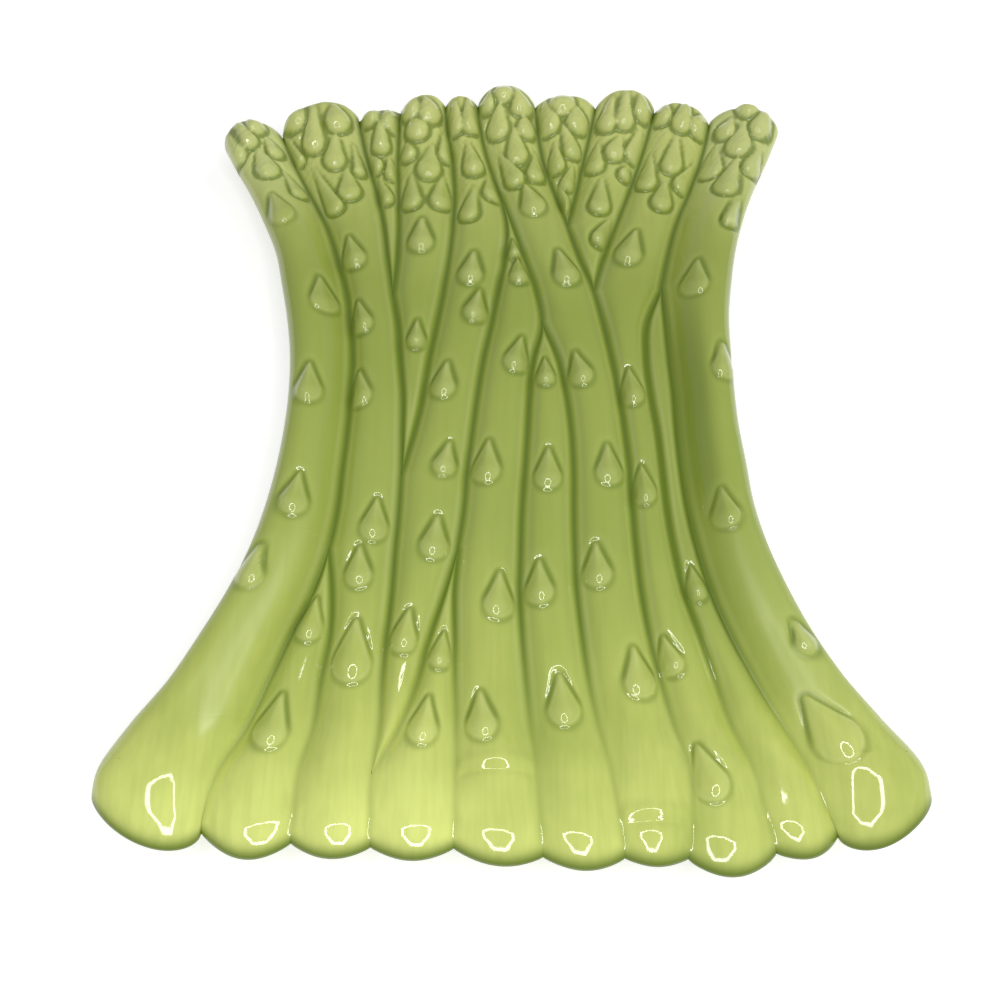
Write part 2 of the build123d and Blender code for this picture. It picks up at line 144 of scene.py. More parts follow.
# Rounded ends in plan: how far out each butt and each head reaches, left to right, and the notches
# between them, with the dish's corners first and last
butt_peaks = {"spear_01_outer_left": 142.9, "spear_02_left_butt": 146.9, "spear_03_left": 147.0,
              "spear_07_centre_left_butt": 147.8, "spear_08_centre": 149.6,
              "spear_09_centre_right_butt": 151.2, "spear_10_crossing": 150.3,
              "spear_13_right": 153.5, "spear_14_right_butt": 148.2, "spear_15_outer_right": 144.6}
butt_notches = [127.5, 139.0, 142.2, 143.6, 144.2, 147.0, 147.6, 148.0, 146.6, 142.0, 130.5]
head_peaks = {"spear_01_outer_left": 134.2, "spear_03_left": 142.8,
              "spear_04_left_tip": 139.8, "spear_05_inner_left_tip": 145.8,
              "spear_06_slanting": 145.6, "spear_10_crossing": 149.5,
              "spear_11_right_tip": 145.4, "spear_12_inner_right_tip": 147.5,
              "spear_13_right": 142.0, "spear_15_outer_right": 138.9}
head_notches = [122.0, 130.5, 137.3, 140.4, 142.8, 142.8, 142.3, 141.8, 140.0, 135.3, 128.5]
head_bulge = 0.6            # how full a head or a corner of the dish is: the lower, the fuller
butt_bulge = 0.85

# Every spear from left to right: its node, its left and right borders as (crevice, last tenth that
# crevice serves, going up), and the tenth where each end tucks under, if it isn't a butt or a head
spears = [
    ("spear_01_outer_left", [("left_side", 10)], [("left_rim", 10)], None, None),
    ("spear_02_left_butt", [("left_rim", 10)], [("left_butt", -3)], None, -3),
    ("spear_03_left", [("left_butt", -3), ("left_rim", 10)], [("left", 10)], None, None),
    ("spear_04_left_tip", [("left", 10)], [("left_tip", 10)], 4, None),
    ("spear_05_inner_left_tip", [("left", 3), ("left_tip", 10)], [("inner_left_tip", 10)],
     -1, None),
    ("spear_06_slanting", [("left", -2), ("inner_left_tip", 10)],
     [("slanting_end", -4), ("centre_left", 10)], -8, None),
    ("spear_07_centre_left_butt", [("left", -9), ("slanting_end", -3)], [("centre_butt", -3)],
     None, -3),
    ("spear_08_centre", [("centre_butt", -3), ("centre_left", 10)], [("centre_right", 7)],
     None, 7),
    ("spear_09_centre_right_butt", [("centre_right", 7)], [("right_butt", 3)], None, 3),
    ("spear_10_crossing", [("right_butt", 3), ("centre_right", 7), ("centre_left", 10)],
     [("right", 10)], None, None),
    ("spear_11_right_tip", [("right", 10)], [("right_tip", 10)], 6, None),
    ("spear_12_inner_right_tip", [("right", 5), ("right_tip", 10)], [("inner_right_tip", 10)],
     4, None),
    ("spear_13_right", [("right", 3), ("inner_right_tip", 10)],
     [("right_rim_inner", 3), ("right_rim", 10)], None, None),
    ("spear_14_right_butt", [("right_rim_inner", 4)], [("right_rim_outer", 4)], None, 4),
    ("spear_15_outer_right", [("right_rim_outer", 4), ("right_rim", 10)], [("right_side", 10)],
     None, None),
]
closing_share = 0.1     # of a tenth: how soon neighbours meet again past a spear's tucked end

# Scale leaves on the stalks: how far along the half length, how far across from the spear's
# middle (-1 to 1), and size
leaf_length = 16.5
leaf_width = 10.2
leaf_room = 0.86            # share of its spear's width that a leaf may take
leaf_before = 0.38          # share of a leaf's length that lies before its place
leaf_shares = {
    "spear_01_outer_left": [(0.60, 0.02, 1.0), (0.342, 0.48, 1.0), (0.086, 0.07, 1.0),
                            (-0.20, 0.17, 1.0), (-0.37, -0.36, 1.0)],
    "spear_02_left_butt": [(-0.48, -0.20, 1.0), (-0.71, -0.22, 1.15)],
    "spear_03_left": [(0.49, -0.33, 0.95), (0.30, -0.52, 0.9), (0.10, -0.64, 0.95),
                      (-0.245, 0.30, 1.0), (-0.36, -0.10, 0.95), (-0.56, -0.08, 1.35)],
    "spear_05_inner_left_tip": [(0.54, -0.14, 1.0), (0.25, 0.06, 0.75)],
    "spear_06_slanting": [(0.44, -0.11, 0.95), (0.33, 0.35, 0.9), (0.12, -0.31, 0.95),
                          (-0.09, 0.29, 0.85), (-0.29, 0.25, 1.0), (-0.51, -0.20, 0.95)],
    "spear_07_centre_left_butt": [(-0.55, 0.05, 0.8), (-0.71, -0.16, 1.0)],
    "spear_08_centre": [(0.51, 0.0, 0.6), (0.435, 0.16, 0.8), (0.19, 0.34, 0.95),
                        (-0.10, -0.36, 1.05), (-0.43, 0.35, 1.05), (-0.70, -0.31, 1.0)],
    "spear_09_centre_right_butt": [(0.145, -0.10, 0.75), (-0.12, -0.06, 1.0), (-0.40, -0.33, 1.0),
                                   (-0.67, 0.06, 1.1)],
    "spear_10_crossing": [(0.65, -0.02, 1.0), (0.44, 0.25, 1.05), (0.15, -0.34, 0.9),
                          (-0.11, 0.25, 1.0), (-0.36, -0.34, 1.0), (-0.61, 0.40, 1.1)],
    "spear_13_right": [(0.50, -0.28, 1.05), (0.10, -0.20, 0.95),
                       (-0.16, -0.30, 0.95), (-0.57, -0.50, 0.85), (-0.83, -0.45, 1.15)],
    "spear_14_right_butt": [(-0.40, -0.05, 0.8)],
    "spear_15_outer_right": [(0.382, -0.38, 1.0), (0.14, 0.40, 0.95),
                             (-0.24, -0.31, 0.95), (-0.54, 0.25, 0.8), (-0.74, -0.40, 1.5)],
}

# Buds of each head: across from its middle to the bud's round end (-1 to 1), back from the head's
# tip, turn in degrees (to the right is positive), length and width. The big ones come first, and
# all of them crowd a little past these sizes.
bud_lengthening = 1.1
bud_widening = 1.12
head_buds = {
    "spear_01_outer_left": [(-0.80, 16, -29, 18, 8.5), (-0.19, 11, -31, 15, 7),
                            (0.27, 4, -40, 10, 6.5), (0.55, 13, -34, 10, 5.5),
                            (-0.04, 23, -24, 15, 8.2), (0.63, 31, -33, 13, 5.6)],
    "spear_03_left": [(-0.60, 7.5, 20, 12, 9.5), (-0.28, 18, -2, 20, 8.2), (0.47, 9, -15, 12, 9),
                      (0.11, 25, 0, 15, 7.8), (0.18, 39, -6, 14, 8.2), (0.69, 29, -12, 13, 4.5),
                      (-0.82, 24, -28, 13, 4), (-0.46, 46, -27, 21, 6.5)],
    "spear_04_left_tip": [(-0.46, 4, 20, 9, 7.5), (0.63, 6, -15, 10, 7.6), (0, 16, -1, 16, 6.6),
                          (-0.56, 24, -30, 10, 5.7), (0.55, 27, -10, 10, 5.3),
                          (-0.24, 38, -19, 12, 6)],
    "spear_05_inner_left_tip": [(-0.50, 7.5, 15, 10, 8), (0.28, 9, -15, 11, 8.6),
                                (-0.25, 15.5, 3, 10, 8.6), (0.78, 25, -2, 13, 6),
                                (0.12, 32, 9, 14, 8.8), (-0.62, 25, -8, 8, 5.8),
                                (0.52, 46, 3, 15, 8), (-0.54, 46, -1, 15, 7.5)],
    "spear_06_slanting": [(-0.55, 13, 0, 13, 7.6), (0.40, 13, -4, 15, 7.6),
                          (0.06, 31, -12, 14, 7.6), (-0.42, 52, 12, 15, 7),
                          (0.70, 42, -8, 12, 7.5)],
    "spear_10_crossing": [(-0.70, 9, 18, 9, 6), (0.50, 10, -20, 12, 8), (-0.10, 5.5, 8, 7, 7.5),
                          (-0.42, 19, 5, 15, 8), (0.58, 19, -7, 10, 7), (0.07, 30, -7, 16, 7.8),
                          (0.50, 38, 3, 13, 6.8), (-0.32, 40, -27, 15, 7.2)],
    "spear_11_right_tip": [(-0.64, 12.5, -4, 14, 9), (0.47, 12.5, -16, 12, 8.5),
                           (-0.12, 5.5, 1, 9, 9.5), (-0.44, 30, -1, 12, 6.2),
                           (0.40, 24, -20, 15, 6.5), (0.15, 38, 18, 11, 5.6),
                           (-0.21, 47, -14, 12, 5.6)],
    "spear_12_inner_right_tip": [(-0.50, 14.5, 13, 14, 7.5), (0.63, 10, -6, 11, 7.5),
                                 (0.05, 14, 7, 16, 7.6), (-0.56, 32, 9, 13, 6.8),
                                 (0.02, 27, 21, 11, 7.3), (0.69, 27, 19, 15, 6.8),
                                 (0.62, 36, 26, 7, 4.8), (0.08, 51, 6, 16, 7.6),
                                 (0.48, 66, 25, 14, 6.6)],
    "spear_13_right": [(-0.70, 6, 17, 10, 7.3), (0.65, 11, 30, 11, 8), (0.06, 9.5, 13, 14, 8),
                       (0.10, 27, 11, 16, 7.7), (-0.53, 34, 10, 16, 7.2),
                       (0.69, 35, 30, 14, 7.2), (0.24, 44, 11, 14, 7.6)],
    "spear_15_outer_right": [(-0.53, 10, 31, 9, 6.8), (-0.01, 2, 30, 9, 8.2),
                             (0.44, 11, 23, 16, 8.2), (-0.02, 18, 16, 15, 8.8),
                             (-0.62, 26, 16, 15, 8), (0.11, 37, 23, 19, 8.6),
                             (0.64, 28, 25, 13, 7), (0.58, 54, 22, 16, 5.6)],
}

# Relief of the leaves and buds
leaf_height = 2.1
upper_leaf_rise = 0.35      # how much fuller the inner spears' leaves are towards the heads
upper_leaf_zone = (0, 50)
bud_height = 2.9
small_bud_height = 2.2
big_buds = 3                # how many of a head's first buds have the full height
point_share = 0.16          # of the round end's radius: how blunt a drop's point is
shortest_reach = 0.9        # of the same radius: how near the point can be
leaf_fall = 0.25            # how much lower a drop's point is than its round end
bud_fall = 0.85
leaf_crown = 0.85           # how full a drop's section is: the lower, the fuller
bud_crown = 0.65
groove_depth = 0.7          # line beside the upper half of a leaf
groove_start = 0.2          # share of it at the leaf's round end
groove_growth = 1.5
bud_groove_depth = 1.0
bud_groove_fall = 0.6       # share of it that is gone at the bud's point
groove_place = 0.3          # outside the drop's outline
groove_width = 1.1
crest_place = 1.1           # line inside the drop's outline where the glaze runs thin
crest_width = 0.7
covering_height = 0.5       # a drop this high hides what lies under it
edge_reach = 2.5            # the relief fades this near to a crevice
edge_relief = 0.25          # share of a drop's height that is left at the crevice
softening = 1               # points on each side over which the glaze softens the relief
hollow_reach = 4            # and over which a hollow shows
head_lumps = 0.18           # unevenness of the glaze over the heads
lump_zone = (98, 14)

# Rounded ends in section
butt_round = 11.0
corner_round = 20.0         # of the two outer spears' butts
butt_bead = 0.4             # swelling behind a butt's end
bead_place = 9.5
bead_width = 4.0
head_round = 6.0

# Low steps that the mould left across two butts, each with a dip behind it
butt_steps = {"spear_08_centre": -116.5, "spear_10_crossing": -133.0}
step_height = 0.6
step_width = 2.2
step_bow = 0.01
dip_depth = 0.4
dip_place = -4
dip_width = 1.2

# Where the glaze pools and where shade is painted, as one darker colour, on a scale from 0 to 1
crevice_marks_zone = (-125, 60)
butt_crevice_darkening = 0.30       # how much of a crevice's pooled glaze and painted shade is left before that zone
# pooled glaze and painted shade down in a crevice
crevice_pool_and_shade = 0.85
crevice_pool_and_shade_reach = 1.1
broad_pool_and_shade = 0.15         # fainter, broader pooled glaze and painted shade beside it
broad_pool_and_shade_reach = 4.0
lip_shade_reach = 3.0             # painted shade on the lip where a butt's end turns under
hollow_pool_and_shade = 0.75          # pooled glaze and painted shade in the hollows beside leaves and buds
hollow_depth = 0.5
wall_shade = 0.5              # broad painted shade down the right rim's inner wall
wall_shade_middle = 5         # along the dish
wall_shade_length = 42
wall_shade_inwards = 5        # from the crevice
wall_shade_width = 6

# Where it runs thin
brink_thin = 0.3            # line beside a crevice
brink_place = 2.3
brink_width = 0.8
drop_crest_thin = 0.35
bump_height = 1.3           # a bump this high is bare of colour
corner_thin = 0.7           # heads of the two outer spears
corner_thin_zone = (80, 35)

# Where the outer spears' glaze is dry: it begins past the first zone and ends at the second
dry_zone = (-117, 24)
dry_end_zone = (-28, 20)

# Fineness of the relief's mesh
round_rows = 16
row_pitch = 0.6
head_row_pitch = 0.5
fewest_rows = 2
butt_zone = -117.0          # rows follow the rounded ends before this line
head_zone = 84.0            # and past this one
column_pitch = 0.52
fewest_columns = 8
widest_counted = 32         # a wider spear gets no more columns than one of this width
column_crowding = 0.04      # how much closer the columns are near a crevice
rim_columns = 15            # from the rim's crest to its edge
probe_lines = 61
smooth_up_to = radians(60)
double_distance = 0.002

# Finish of the glaze
glaze_ior = 1.62
glaze_roughness = (0.04, 0.09)
shine_scale = 35.0          # of the patches in its shine
dry_roughness = 0.32        # added where it is dry
cloud_scale = 18.0
cloud_drift = 0.05          # how far clouds shift the colours along the dish
cloud_strength = 0.3
speck_scale = 60.0
speck_share = 0.015         # how many of the cells hold a speck
streak_scale = 420.0
streak_stretch = 0.06       # streaks run along the stalks
streak_strength = 0.18
thin_strength = 0.7
# how much pooled glaze and painted shade darken the colour
pool_and_shade_strength = 0.95
ripple_scale = 130.0
ripple_strength = 0.08
ripple_height = 0.4

# Finish of the bare foot
clay_roughness = 0.8
clay_cloud_scale = 45.0
clay_speck_scale = 220.0
grain_scale = 900.0
grain_strength = 0.4
grain_height = 0.2

# Camera, as in the photograph: its place in millimetres, its angles in degrees
camera_place = (-6.9, -169.7, 370.0)
camera_tilt = 22.0
camera_roll = 0.9
camera_turn = -1.4
lens = 39.6

# Light, in metres and watts
ring_sides = 8
ring_radius = 0.15
ring_width = 0.026
ring_back = 0.03            # how far behind the camera's middle the ring is
ring_power = 0.135
fill_place = (1.3, 0.3, 1.1)
fill_size = (1.2, 1.2)
fill_power = 9.0
room_strength = 0.33
room_mirrored = 0.42        # how bright the room is in the glaze
floor_size = 12.0
floor_grey = (0.82, 0.82, 0.82, 1.0)
floor_glow = 0.5
white = (1.0, 1.0, 1.0, 1.0)


def soft_step(x):
    x = np.clip(x, 0, 1)
    return x * x * (3 - 2 * x)


def tipwards(along, line, length):
    """0 before the line, 1 once the length past it is reached."""
    return soft_step((along - line) / length)


def buttwards(along, line, length):
    """1 before the line by at least the length, 0 past it."""
    return soft_step((line - along) / length)


def hump(distance, width, power=2):
    """1 in the middle and dying away past the width, with a flatter top at a higher power."""
    return np.exp(-(distance / width) ** power)


def smooth_through(values, place):
    """Smooth curve through evenly spaced values, read at places counted in spacings."""
    values = np.asarray(values, float)
    padded = np.concatenate([[2 * values[0] - values[1]], values, [2 * values[-1] - values[-2]]])
    place = np.clip(place, 0, len(values) - 1)
    i = np.minimum(place.astype(int), len(values) - 2)
    f = place - i
    before, low, high, after = padded[i], padded[i + 1], padded[i + 2], padded[i + 3]
    return 0.5 * (2 * low + (high - before) * f
                  + (2 * before - 5 * low + 4 * high - after) * f ** 2
                  + (3 * low - before - 3 * high + after) * f ** 3)


half_widths = [(waist_width + ((butt_width if k < 11 else tip_width) - waist_width) * share) / 2
               for k, share in enumerate(flare_shares)]


def half_width(along):
    """Half the dish's width across a line."""
    return smooth_through(half_widths, along / tenth + 10)


def crevice(name, along):
    """Distance across of a crevice."""
    first, shares = crevice_shares[name]
    return smooth_through(shares, along / tenth - first) * half_width(along)


def border(chain, along):
    """Distance across of a spear's border, which follows one crevice after another."""
    across = crevice(chain[0][0], along)
    for (_, last), (upper, _) in zip(chain, chain[1:]):
        late = crevice_shares[upper][0] > last
        start = last + 1 - closing_share if late else last
        passed = np.clip((along / tenth - start) / closing_share, 0, 1)
        across = across + (crevice(upper, along) - across) * passed
    return across


def side_of(left_chain, right_chain):
    """-1 or 1 for the spear on the dish's left or right side, and 0 for any other."""
    if left_chain[0][0] == "left_side":
        return -1
    return 1 if right_chain[0][0] == "right_side" else 0


def level(along):
    """Height of the crevices' bottoms, which lift towards both ends."""
    share = np.abs(along) / half_length
    butt = butt_rise * soft_step((share - butt_floor_share) / (butt_level_share - butt_floor_share))
    tip = tip_rise * (np.maximum(0, share - tip_floor_share) / (1 - tip_floor_share)) ** lift_power
    return floor_level + np.where(along < 0, butt, tip)


def rim_height(along):
    """How high the outer spears' crests stand above the crevices."""
    return rim_rise * smooth_through(rim_shares, along / tenth + 10)


class Drop:
    """A teardrop seen from above: its round end, the way it points, and its size."""

    def __init__(self, across, along, turn, length, width, height, is_leaf):
        self.across, self.along = across, along
        self.radius = width / 2
        self.tip_radius = self.radius * point_share
        self.reach = max(length - self.radius - self.tip_radius, self.radius * shortest_reach)
        self.forward = (np.sin(radians(turn)), np.cos(radians(turn)))
        self.height, self.is_leaf = height, is_leaf

    def measure(self, across, along):
        """Distance from the outline, negative inside, and ahead of the round end's middle."""
        dx, dy = across - self.across, along - self.along
        sideways = np.abs(dx * self.forward[1] - dy * self.forward[0])
        ahead = dx * self.forward[0] + dy * self.forward[1]
        lean = (self.radius - self.tip_radius) / self.reach
        upright = (1 - lean ** 2) ** 0.5
        on = ahead * upright - sideways * lean
        outline = np.where(
            on < 0, np.hypot(sideways, ahead) - self.radius,
            np.where(on > upright * self.reach,
                     np.hypot(sideways, ahead - self.reach) - self.tip_radius,
                     sideways * upright + ahead * lean - self.radius))
        return outline, ahead


def spear_ends(name, tucked_start, tucked_end, across_share):
    """Where the spear's two ends lie, for each share of the way across it."""
    names = [spear[0] for spear in spears]
    ends = []
    for tucked, peaks, notches, sign in ((tucked_start, butt_peaks, butt_notches, -1),
                                         (tucked_end, head_peaks, head_notches, 1)):
        if tucked is not None:
            ends.append(np.full_like(across_share, (tucked + sign * closing_share) * tenth))
            continue
        i = sorted(peaks, key=names.index).index(name)
        left, right = notches[i], notches[i + 1]
        between = left + (right - left) * across_share
        middle = (left + right) / 2
        if sign > 0 or i in (0, len(peaks) - 1):
            bulge = (1 - (2 * across_share - 1) ** 2) ** head_bulge
        else:
            bulge = np.sin(pi * across_share) ** butt_bulge
        ends.append(sign * (between + (peaks[name] - middle) * bulge))
    return ends


def rows_along(name, tucked_start, tucked_end, across_share, reach):
    """Distance along the dish of every row and column of the spear's mesh, and its two ends."""
    start, end = spear_ends(name, tucked_start, tucked_end, across_share)
    angles = np.linspace(0, pi / 2, round_rows + 1)
    low, high = start.max(), end.min()
    rows = []
    if tucked_start is None:
        low = butt_zone
        straight = np.linspace(0, 1, 1 + int((butt_zone + half_length) / row_pitch))
        rows += [start + reach * (1 - np.sin(angle)) for angle in angles[:0:-1]]
        rows += [start + reach + (butt_zone - start - reach) * step for step in straight[:-1]]
    if tucked_end is None:
        high = head_zone
    body = np.linspace(low, high, 1 + max(fewest_rows, int((high - low) / row_pitch)))
    rows += [np.full_like(across_share, along) for along in body]
    if tucked_end is None:
        straight = np.linspace(0, 1, 1 + int((half_length - head_zone) / head_row_pitch))
        rows += [head_zone + (end - head_round - head_zone) * step for step in straight[1:]]
        rows += [end - head_round * (1 - np.sin(angle)) for angle in angles[1:]]
    return np.array(rows), start, end


def columns_across(width, side):
    """Shares of the way across for the columns, closer together where the surface turns most."""
    if not side:
        even = np.linspace(0, 1, 1 + max(fewest_columns, int(width / column_pitch)))
        return even - column_crowding * np.sin(2 * pi * even)
    inner = np.linspace(0, rim_crest_share, 1 + int(width * rim_crest_share / column_pitch))
    turn = np.sin(np.linspace(0, pi / 2, rim_columns + 1))[1:]
    shares = np.concatenate([inner, rim_crest_share + (1 - rim_crest_share) * turn])
    return shares if side > 0 else 1 - shares[::-1]


def filled(distance):
    """Distance from a crevice, with its bottom rounded as glaze fills it."""
    return np.sqrt(distance ** 2 + crevice_round ** 2) - crevice_round


def pooling_and_shade(inwards, along):
    """How much pooled glaze and painted shade lie at a distance from a crevice: less of it towards
    the butts.
    """
    darkening_left = butt_crevice_darkening + (1 - butt_crevice_darkening) * tipwards(along, *crevice_marks_zone)
    return darkening_left * (crevice_pool_and_shade * hump(inwards, crevice_pool_and_shade_reach)
                       + broad_pool_and_shade * hump(inwards, broad_pool_and_shade_reach))


def stalk_profile(width, inwards, along):
    """Top and underside of a spear between two crevices, and where its glaze pools and shade is
    painted.
    """
    climbed = filled(inwards) / np.maximum(filled(width / 2), 1e-6)
    rise = ridge * np.minimum(1, width / ridge_full_width)
    rise = rise * (1 - butt_flattening * buttwards(along, *butt_flattening_zone))
    power = butt_dome_power + (dome_power - butt_dome_power) * tipwards(along, *dome_zone)
    dome = rise * (1 - (1 - np.clip(climbed, 0, 1)) ** power)
    return level(along) + dome, level(along) - wall, pooling_and_shade(inwards, along)


def rim_profile(width, inwards, along, side):
    """The same for an outer spear, which stands up as the dish's rim."""
    share = inwards / width
    rise = rim_height(along) + pad_rise * hump(along - pad_rise_place, pad_rise_length)
    crest = level(along) + rise
    crest_share = rim_crest_share + pad_reach * hump(along - pad_reach_place, pad_reach_length)
    climbed = filled(inwards) / filled(width * crest_share)
    steepening = butt_steepening["left" if side < 0 else "right"]
    power = rim_steepness + steepening * buttwards(along, *steepening_zone)
    inner = level(along) + rise * (1 - (1 - np.clip(climbed, 0, 1)) ** power)
    turned = np.clip((share - crest_share) / (1 - crest_share), 0, 1)
    round_off = np.sqrt(1 - turned ** 2)
    edge = crest - rim_edge_share * (rise + ridge)
    low = crest - wall - rim_under_share * rise
    under_inner = level(along) - wall + (low - level(along) + wall) * soft_step(
        share / crest_share)
    top = np.where(share < crest_share, inner, edge + (crest - edge) * round_off)
    under = np.where(share < crest_share, under_inner, edge + (low - edge) * round_off)
    pool_and_shade = pooling_and_shade(inwards, along)
    # Painted shade down the right rim's inner wall
    if side > 0:
        pool_and_shade = np.maximum(pool_and_shade, wall_shade * hump(along - wall_shade_middle, wall_shade_length, 4)
                          * hump(inwards - wall_shade_inwards, wall_shade_width, 4))
    return top, under, pool_and_shade


def lay_leaf(left_chain, right_chain, along_share, across_share, size):
    """A scale leaf at its place on a stalk, pointing the way the stalk runs."""
    along = np.array([along_share * half_length, along_share * half_length + leaf_length])
    left, right = border(left_chain, along), border(right_chain, along)
    middle = (left + right) / 2
    side = side_of(left_chain, right_chain)
    if side:
        middle = np.where(side > 0, left, right) + side * rim_crest_share * (right - left)
    towards = right[0] if across_share > 0 else left[0]
    across = middle[0] + abs(across_share) * (towards - middle[0])
    lean = np.degrees(np.arctan2(middle[1] - middle[0], leaf_length))
    width = min(leaf_width * size, leaf_room * (right[0] - left[0]))
    length = leaf_length * size
    round_end = along[0] - length * leaf_before + width / 2
    fuller = 0 if side else upper_leaf_rise * tipwards(along[0], *upper_leaf_zone)
    return Drop(across, round_end, lean, length, width, leaf_height * (1 + fuller), True)


def lay_drops():
    """Every leaf and bud of the dish, placed on its spear."""
    drops = {}
    for name, left_chain, right_chain, _, _ in spears:
        drops[name] = [lay_leaf(left_chain, right_chain, *leaf)
                       for leaf in leaf_shares.get(name, [])]
        for i, (across_share, back, turn, length, width) in enumerate(head_buds.get(name, [])):
            along = np.array([head_peaks[name] - back])
            left, right = border(left_chain, along)[0], border(right_chain, along)[0]
            across = (left + right) / 2 + across_share * (right - left) / 2
            height = bud_height if i < big_buds else small_bud_height
            drops[name].append(Drop(across, along[0], turn, bud_lengthening * length,
                                    bud_widening * width, height, False))
    return drops


def drop_relief(drops, across, along):
    """How far drops stand above a spear, the depth of the lines round them, and their crests."""
    leaves, buds, grooves, crests = (np.zeros_like(across) for _ in range(4))
    for drop in drops:
        near = np.hypot(across - drop.across, along - drop.along) < drop.reach + 3 * drop.radius
        if not near.any():
            continue
        outline, ahead = drop.measure(across[near], along[near])
        on = np.clip(ahead / drop.reach, 0, 1)
        inside = 1 - (1 - np.clip(-outline / drop.radius, 0, 1)) ** 2
        line = hump(outline - groove_place, groove_width)
        if drop.is_leaf:
            pillow = drop.height * (1 - leaf_fall * on) * inside ** leaf_crown
            leaves[near] = np.maximum(leaves[near], pillow)
            line *= groove_depth * soft_step(groove_growth * on + groove_start)
        else:
            pillow = drop.height * (1 - bud_fall * on) * inside ** bud_crown
            buds[near] = np.maximum(buds[near], pillow)
            line *= bud_groove_depth * (1 - bud_groove_fall * on)
        grooves[near] = np.maximum(grooves[near], line)
        crests[near] = np.maximum(crests[near], hump(outline + crest_place, crest_width))
    raised = np.maximum(leaves, buds)
    return raised, grooves * (1 - soft_step(raised / covering_height)), crests


def lumps(across, along):
    """Low waves that cross each other unevenly, over the heads only."""
    waves = np.sin(2.1 * across + np.sin(0.9 * along)) * np.sin(1.9 * along + np.sin(0.8 * across))
    return head_lumps * waves * tipwards(along, *lump_zone)


def blurred(field, reach):
    """Field averaged over a small square round each point."""
    steps = range(2 * reach + 1)
    for axis in (0, 1):
        pad = [(reach, reach) if a == axis else (0, 0) for a in (0, 1)]
        padded = np.pad(field, pad, mode="edge")
        field = sum(np.take(padded, np.arange(field.shape[axis]) + i, axis) for i in steps)
        field = field / len(steps)
    return field


def model_slab(name, columns, rows):
    """A flat closed slab, a grid pulled down once, that the relief is then shaped from."""
    bpy.ops.object.select_all(action="DESELECT")
    bpy.ops.mesh.primitive_grid_add(x_subdivisions=columns - 1, y_subdivisions=rows - 1, size=1)
    slab = bpy.context.object
    slab.name = name
    slab.data.name = name
    bpy.ops.object.mode_set(mode="EDIT")
    bpy.ops.mesh.select_all(action="SELECT")
    bpy.ops.mesh.extrude_region_move(TRANSFORM_OT_translate={"value": (0, 0, -1)})
    bpy.ops.object.mode_set(mode="OBJECT")
    return slab


def shape_slab(mesh, across, along, top, under, masks):
    """Moves the slab's points onto the spear's surface and writes the glaze masks on them.

    Each mask is a pair: its values on the top and on the underside."""
    rows, columns = along.shape
    places = np.empty(len(mesh.vertices) * 3, np.float32)
    mesh.vertices.foreach_get("co", places)
    places = places.reshape(-1, 3)
    column = np.rint((places[:, 0] + 0.5) * (columns - 1)).astype(int)
    row = np.rint((places[:, 1] + 0.5) * (rows - 1)).astype(int)
    is_top = places[:, 2] > -0.5
    height = np.where(is_top, top[row, column], under[row, column])
    shaped = np.stack([across[row, column], along[row, column] + waist_line, height], 1) * mm
    mesh.vertices.foreach_set("co", shaped.astype(np.float32).ravel())
    for mask, (above, below) in masks.items():
        attribute = mesh.attributes.new(mask, "FLOAT", "POINT")
        values = np.where(is_top, above[row, column], below[row, column])
        attribute.data.foreach_set("value", values.astype(np.float32))
    mesh.update()


